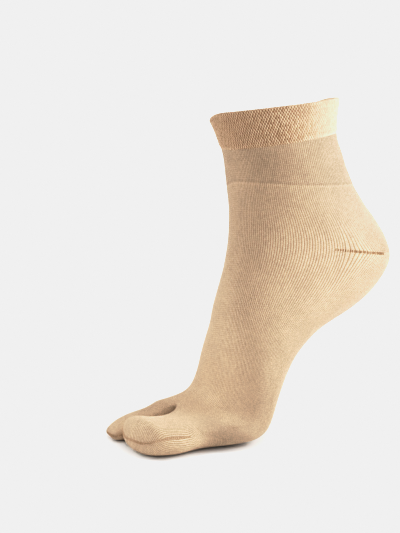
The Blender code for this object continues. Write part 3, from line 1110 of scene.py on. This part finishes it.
# The camera stands level with the leg, and looks down a little
CAMERA_AZIMUTH = math.radians(56.5)
CAMERA_AWAY = 0.525
CAMERA_HEIGHT = 0.175
CAMERA_YAW = 0.0413
CAMERA_PITCH = -0.1347
LENS = 57.05
# How the picture is developed: bright tones are held back, so that paper white comes out as pale grey
TONES = ((0.0, 0.0), (0.1, 0.029), (0.2, 0.083), (0.35, 0.197), (0.5, 0.350), (0.7, 0.595), (1.0, 0.871))

# Soft lights. azimuth: degrees round the sock, as the camera's is. away, height, size: metres.
Light = namedtuple("Light", "name azimuth away height size power")
LIGHTS = (
    Light("window", 144.0, 1.10, 0.65, 0.80, 16.5),
    Light("edge", -66.0, 1.10, 0.45, 0.80, 11.0),
    Light("top", 60.0, 0.20, 1.40, 1.00, 6.8),
)
LIGHTS_AIM = (0.0, 0.03, 0.10)
WORLD_STRENGTH = 0.05
# A spot that lifts the foot out of the shade on the side of the camera
SPOT_POWER = 10.0
SPOT_CONE = math.radians(17.0)
SPOT_SIZE = 0.15
SPOT_PLACE = (0.80, -0.55, 0.70)
SPOT_AIM = (0.0, 0.0, 0.02)

# The sweep: a flat floor, a bend up and a wall, in metres, and how far it lies below the sock
SWEEP_FLAT = 1.2
SWEEP_BEND = 0.8
SWEEP_TOP = 2.4
SWEEP_DROP = 0.0003
SWEEP_SIDES = 48
SWEEP_STEPS = 8
# The backdrop's glow, and the distances from the sock between which it rises
STAGE_GLOW = 0.36
GLOW_RISE = (0.40, 1.50)


def develop(view):
    """Puts the curve of the tones on the picture."""
    view.view_transform = "Standard"
    view.use_curve_mapping = True
    mapping = view.curve_mapping
    mapping.extend = "HORIZONTAL"
    points = mapping.curves[3].points
    points[0].location = TONES[0]
    points[-1].location = TONES[-1]
    for tone in TONES[1:-1]:
        points.new(*tone)
    mapping.update()


def add_camera():
    sine = math.sin(CAMERA_AZIMUTH)
    cosine = math.cos(CAMERA_AZIMUTH)
    ahead = Vector((-sine, cosine, 0.0))
    right = Vector((cosine, sine, 0.0))
    direction = ahead - right * CAMERA_YAW + Vector((0.0, 0.0, CAMERA_PITCH))
    data = bpy.data.cameras.new("camera")
    data.lens = LENS
    data.clip_start = 0.01
    camera = bpy.data.objects.new("camera", data)
    camera.location = (CAMERA_AWAY * sine, -CAMERA_AWAY * cosine, CAMERA_HEIGHT)
    camera.rotation_euler = direction.to_track_quat("-Z", "Y").to_euler()
    bpy.context.scene.collection.objects.link(camera)
    bpy.context.scene.camera = camera


def hang_light(data, place, aim):
    """Hangs a light at its place and turns it to what it lights."""
    light = bpy.data.objects.new(data.name, data)
    light.location = place
    light.rotation_euler = (Vector(aim) - light.location).to_track_quat("-Z", "Y").to_euler()
    bpy.context.scene.collection.objects.link(light)


def add_soft_light(row):
    data = bpy.data.lights.new(row.name, "AREA")
    data.shape = "DISK"
    data.size = row.size
    data.energy = row.power
    angle = math.radians(row.azimuth)
    place = (row.away * math.sin(angle), -row.away * math.cos(angle), row.height)
    hang_light(data, place, LIGHTS_AIM)


def add_spot():
    data = bpy.data.lights.new("spot", "SPOT")
    data.energy = SPOT_POWER
    data.spot_size = SPOT_CONE
    data.spot_blend = 1.0
    data.shadow_soft_size = SPOT_SIZE
    hang_light(data, SPOT_PLACE, SPOT_AIM)


def add_world():
    """A faint even light from everywhere."""
    world = bpy.data.worlds.new("studio")
    world.use_nodes = True
    shade = world.node_tree.nodes["Background"]
    shade.inputs["Color"].default_value = (1.0, 1.0, 1.0, 1.0)
    shade.inputs["Strength"].default_value = WORLD_STRENGTH
    bpy.context.scene.world = world


def stage_material(name, colour, roughness):
    """Matt pale paper that glows more the further it lies from the sock, as a lit backdrop does."""
    graph = Graph(name)
    grain = graph.noise(30.0, detail=1.0)
    tone = graph.grey(0.995 + 0.01 * grain)
    paint = graph.mix(1.0, colour, tone, "MULTIPLY")
    made = graph.finish(paint, roughness, grain, STAGE_BUMP)
    where = graph.node("ShaderNodeTexCoord", output="Object")
    split = graph.node("ShaderNodeSeparateXYZ", {}, {0: where})
    away = (split.out("X") ** 2.0 + split.out("Y") ** 2.0) ** 0.5
    glow = graph.grey(away.smooth(*GLOW_RISE))
    shader = next(node for node in graph.tree.nodes if node.type == "BSDF_PRINCIPLED")
    graph.tree.links.new(glow.socket, shader.inputs["Emission Color"])
    shader.inputs["Emission Strength"].default_value = STAGE_GLOW
    return made


def add_sweep():
    """A round pale floor whose edge curves up all round, far from the sock."""
    rings = [(0.0, 0.0), (SWEEP_FLAT, 0.0)]
    for step in range(1, SWEEP_STEPS + 1):
        turn = step / SWEEP_STEPS * math.pi / 2.0
        rings.append((SWEEP_FLAT + SWEEP_BEND * math.sin(turn), SWEEP_BEND * (1.0 - math.cos(turn))))
    rings.append((SWEEP_FLAT + SWEEP_BEND, SWEEP_TOP))
    points = []
    for radius, height in rings:
        for side in range(SWEEP_SIDES):
            angle = math.tau * side / SWEEP_SIDES
            points.append((radius * math.cos(angle), radius * math.sin(angle), height - SWEEP_DROP))
    faces = []
    for ring in range(len(rings) - 1):
        lower = ring * SWEEP_SIDES
        upper = lower + SWEEP_SIDES
        for side in range(SWEEP_SIDES):
            after = (side + 1) % SWEEP_SIDES
            faces.append((lower + side, upper + side, upper + after, lower + after))
    mesh = bpy.data.meshes.new("sweep")
    mesh.from_pydata(points, [], faces)
    mesh.materials.append(stage_material("sweep", colours().floor, 0.85))
    mesh.shade_smooth()
    sweep = bpy.data.objects.new("sweep", mesh)
    bpy.context.scene.collection.objects.link(sweep)


class SockOperator:
    """What the operators that build a piece share."""

    bl_options = {"REGISTER", "UNDO"}


class TOESOCK_OT_cuff(SockOperator, bpy.types.Operator):
    """Knit the doubled cuff in seed stitch, with its rolled rim"""

    bl_idname = "toesock.cuff"
    bl_label = "Cuff"

    def execute(self, context):
        piece = Piece("cuff_seed_stitch")
        piece.add_patch(cuff_patch())
        knit = shared_material("seed_stitch", seed_stitch)
        dress(piece.make([knit]), "cuff_knit", "cuff")
        return {"FINISHED"}


class TOESOCK_OT_leg(SockOperator, bpy.types.Operator):
    """Knit the ribbed leg between the cuff and the heel"""

    bl_idname = "toesock.leg"
    bl_label = "Leg"

    def execute(self, context):
        piece = Piece("leg_knit")
        rings = steps(LEG_RING, HEEL_RING, LEG_ROWS)
        piece.add_patch(body_patch((0, COLUMNS), rings, True, ("top", "bottom")))
        dress(piece.make(knit_materials()), "knit", "leg")
        return {"FINISHED"}


class TOESOCK_OT_heel(SockOperator, bpy.types.Operator):
    """Knit the heel's pocket, whose wales lean to its gore lines"""

    bl_idname = "toesock.heel"
    bl_label = "Heel"

    def execute(self, context):
        piece = Piece("heel_knit")
        rings = steps(HEEL_RING, FOOT_RING, HEEL_ROWS)
        columns = (QUARTER, 3 * QUARTER)
        walls = ("top", "bottom", "left", "right")
        piece.add_patch(body_patch(columns, rings, False, walls, gore_lean))
        dress(piece.make(knit_materials()), "knit", "heel")
        return {"FINISHED"}


class TOESOCK_OT_foot(SockOperator, bpy.types.Operator):
    """Knit the instep and sole down to the cleft between the toes"""

    bl_idname = "toesock.foot"
    bl_label = "Foot"

    def execute(self, context):
        piece = Piece("foot_knit")
        front = (3 * QUARTER, COLUMNS + QUARTER)
        back = (QUARTER, 3 * QUARTER)
        beside_heel = steps(HEEL_RING, FOOT_RING, HEEL_ROWS)
        below = steps(FOOT_RING, len(RINGS) - 1, FOOT_ROWS)
        side_length = surface().sample("body", QUARTER, FOOT_RING)[2]
        piece.add_patch(body_patch(front, beside_heel, False, ("top", "left", "right")))
        piece.add_patch(body_patch(front, below, False, ("bottom",)))
        piece.add_patch(body_patch(back, below, False, ("top", "bottom"), None, side_length))
        dress(piece.make(knit_materials()), "knit", "foot")
        return {"FINISHED"}


class TOESOCK_OT_toes(SockOperator, bpy.types.Operator):
    """Knit the two toe pouches and link their seams"""

    bl_idname = "toesock.toes"
    bl_label = "Toe pouches and seams"

    def execute(self, context):
        toes = (
            ("four", "four_toe", (CLEFT_BOTTOM + 1) // 2, -1, CLEFT_TOP),
            ("big", "big_toe", (CLEFT_TOP - CLEFT_BOTTOM) // 2, 1, CLEFT_BOTTOM),
        )
        size = sizes()
        yarn = shared_material("seam_yarn", plied_yarn, colours().seam)
        for patch, name, start, upwards, first_column in toes:
            knit, seam = toe_patch(patch, start, upwards, first_column)
            piece = Piece(name + "_knit")
            piece.add_patch(knit)
            dress(piece.make(knit_materials()), "knit", name + "_pouch")
            chain = stitch_chain(name + "_stitches", *seam, SEAM_PITCH, size.seam_width, SEAM_FILL)
            dress(chain.make([yarn]), "cuff_knit", name + "_seam")
        return {"FINISHED"}


class TOESOCK_OT_gores(SockOperator, bpy.types.Operator):
    """Add the rows of turned stitches along the heel's gore lines"""

    bl_idname = "toesock.gores"
    bl_label = "Gore lines"

    def execute(self, context):
        yarn = shared_material("gore_yarn", plied_yarn, colours().groove_shade_and_gore_yarn)
        for name, columns in (("outer", (GORE_START, GORE_END)), ("inner", (-GORE_END, -GORE_START))):
            column = steps(*columns, GORE_STEPS) % COLUMNS
            points, normals = surface().sample("body", column, GORE_RING)[:2]
            chain = stitch_chain(name + "_gore", points, normals, GORE_PITCH, GORE_WIDTH, GORE_FILL)
            made = chain.make([yarn])
            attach(made, BODY)
        return {"FINISHED"}


class TOESOCK_OT_studio(SockOperator, bpy.types.Operator):
    """Set up the pale floor, the lights and the camera"""

    bl_idname = "toesock.studio"
    bl_label = "Studio"

    def execute(self, context):
        add_sweep()
        for row in LIGHTS:
            add_soft_light(row)
        add_spot()
        add_world()
        develop(context.scene.view_settings)
        add_camera()
        return {"FINISHED"}


class TOESOCK_PT_panel(bpy.types.Panel):
    """The pieces of the sock, in the order in which they are built"""

    bl_idname = "TOESOCK_PT_panel"
    bl_label = "Toe Sock"
    bl_space_type = "VIEW_3D"
    bl_region_type = "UI"
    bl_category = "Toe Sock"

    def draw(self, context):
        for group in (context.scene.sock_sizes, context.scene.sock_colours):
            for name in group.__annotations__:
                self.layout.prop(group, name)
        for step in OPERATORS:
            self.layout.operator(step.bl_idname)


OPERATORS = (
    TOESOCK_OT_cuff,
    TOESOCK_OT_leg,
    TOESOCK_OT_heel,
    TOESOCK_OT_foot,
    TOESOCK_OT_toes,
    TOESOCK_OT_gores,
    TOESOCK_OT_studio,
)
CLASSES = (SockSizes, SockColours, *OPERATORS, TOESOCK_PT_panel)


def register():
    for each in CLASSES:
        bpy.utils.register_class(each)
    bpy.types.Scene.sock_sizes = PointerProperty(type=SockSizes)
    bpy.types.Scene.sock_colours = PointerProperty(type=SockColours)


def unregister():
    del bpy.types.Scene.sock_colours
    del bpy.types.Scene.sock_sizes
    for each in reversed(CLASSES):
        bpy.utils.unregister_class(each)


def main():
    register()
    bpy.ops.toesock.cuff()
    bpy.ops.toesock.leg()
    bpy.ops.toesock.heel()
    bpy.ops.toesock.foot()
    bpy.ops.toesock.toes()
    bpy.ops.toesock.gores()
    bpy.ops.toesock.studio()


if __name__ == "__main__":
    main()
